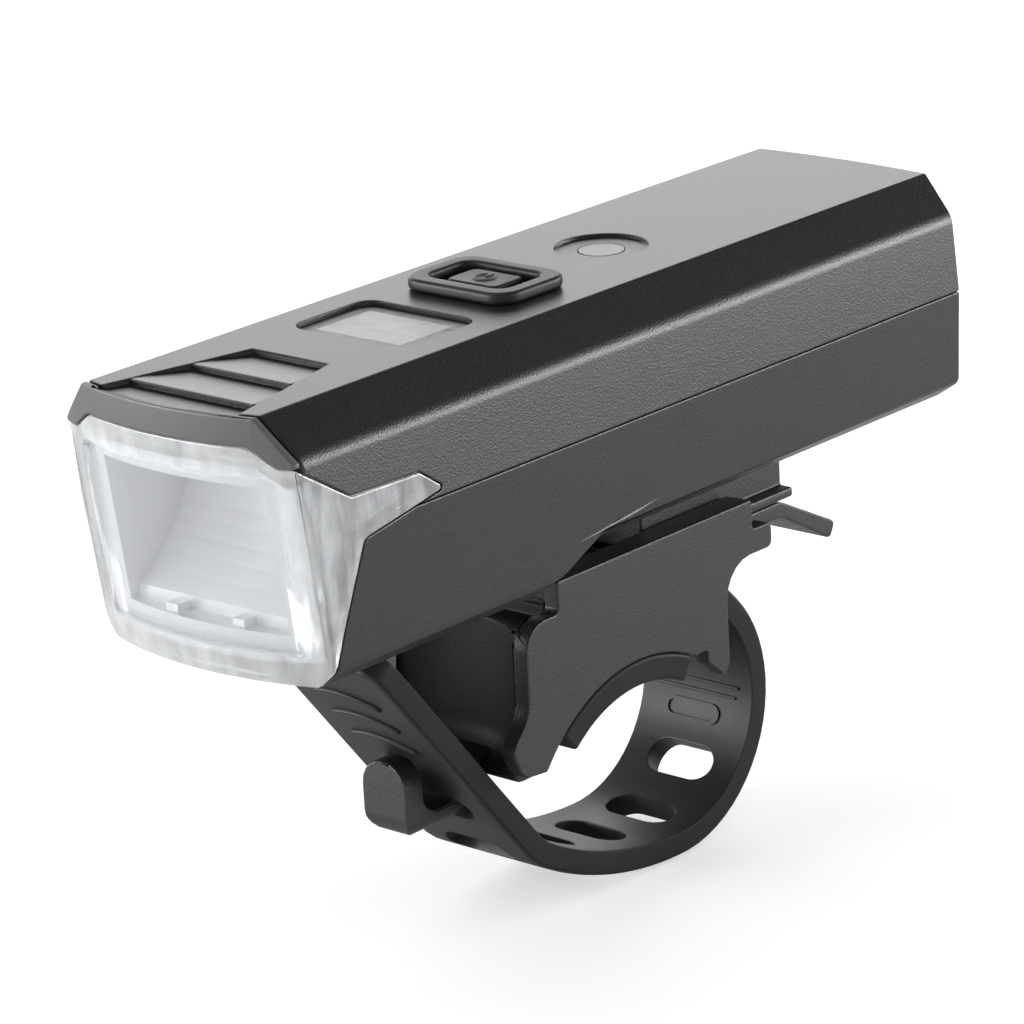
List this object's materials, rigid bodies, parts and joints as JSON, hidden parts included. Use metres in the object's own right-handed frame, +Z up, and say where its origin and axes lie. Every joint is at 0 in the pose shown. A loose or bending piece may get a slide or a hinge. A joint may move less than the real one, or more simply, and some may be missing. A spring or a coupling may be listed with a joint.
{
  "type": "bike headlight",
  "caption": "Bike headlight with a bevelled housing, winged clear lens, top display and button, on a slide-on handlebar bracket with a perforated rubber strap.",
  "frame": {"origin": "middle of the handlebar axis in the bracket's saddle", "axes": "+X along the handlebar, -Y along the beam, +Z up"},
  "size_m": [0.032, 0.1074, 0.0676],
  "materials": {
    "shell_plastic": "fine spark texture",
    "visor_plastic": "smooth satin",
    "clear_plastic": "clear polished",
    "silvered": "vacuum metallised",
    "soft_rubber": "satin",
    "emitter_yellow": "gloss",
    "board_metal": "white solder mask",
    "sink_metal": "bare",
    "board_green": "solder mask",
    "switch_metal": "plain",
    "display_dark": "gloss",
    "window_grey": "clear pane",
    "guide_clear": "diffusing",
    "cell_wrap": "shrink wrap",
    "strip_nickel": "bare",
    "screw_steel": "plain",
    "bracket_plastic": "fine texture"
  },
  "bodies": {
    "holder": {"bracket": "bracket_plastic", "saddle_pad": "soft_rubber", "strap": "soft_rubber"},
    "lamp": {"upper_shell": "shell_plastic", "visor": "visor_plastic", "lower_shell": "shell_plastic", "shell_seal": "soft_rubber", "clear_lens": "clear_plastic", "lens_gasket": "soft_rubber", "reflector": "silvered", "led_emitter": "emitter_yellow", "led_board": "board_metal", "heat_sink": "sink_metal", "main_board": "board_green", "tact_switch": "switch_metal", "button_bezel": "soft_rubber", "display_module": "display_dark", "display_window": "window_grey", "sensor_window": "guide_clear", "light_sensor": "display_dark", "battery_cell": "cell_wrap", "battery_tabs": "strip_nickel", "charge_socket": "switch_metal", "case_screws": "screw_steel", "slide_rail": "bracket_plastic", "rail_screws": "screw_steel"},
    "tongue": {"release_tongue": "bracket_plastic"},
    "button": {"button_cap": "soft_rubber"},
    "cover": {"port_cover": "soft_rubber"}
  },
  "joints": [
    {"name": "lamp_slide", "type": "slide", "parent": "holder", "child": "lamp", "axis": [0, -1, 0], "range_m": [0, 0.039]},
    {"name": "tongue_press", "type": "hinge", "parent": "holder", "child": "tongue", "pos_m": [0, 0.0045, 0.0266], "axis": [-1, 0, 0], "range_deg": [0, 6], "stiffness_Nm_per_rad": 2},
    {"name": "button_press", "type": "slide", "parent": "lamp", "child": "button", "axis": [0, 0, -1], "range_m": [0, 0.0005], "stiffness_N_per_m": 3000},
    {"name": "cover_swing", "type": "hinge", "parent": "lamp", "child": "cover", "pos_m": [0, 0.0495, 0.0501], "axis": [-1, 0, 0], "range_deg": [0, 100]}
  ]
}
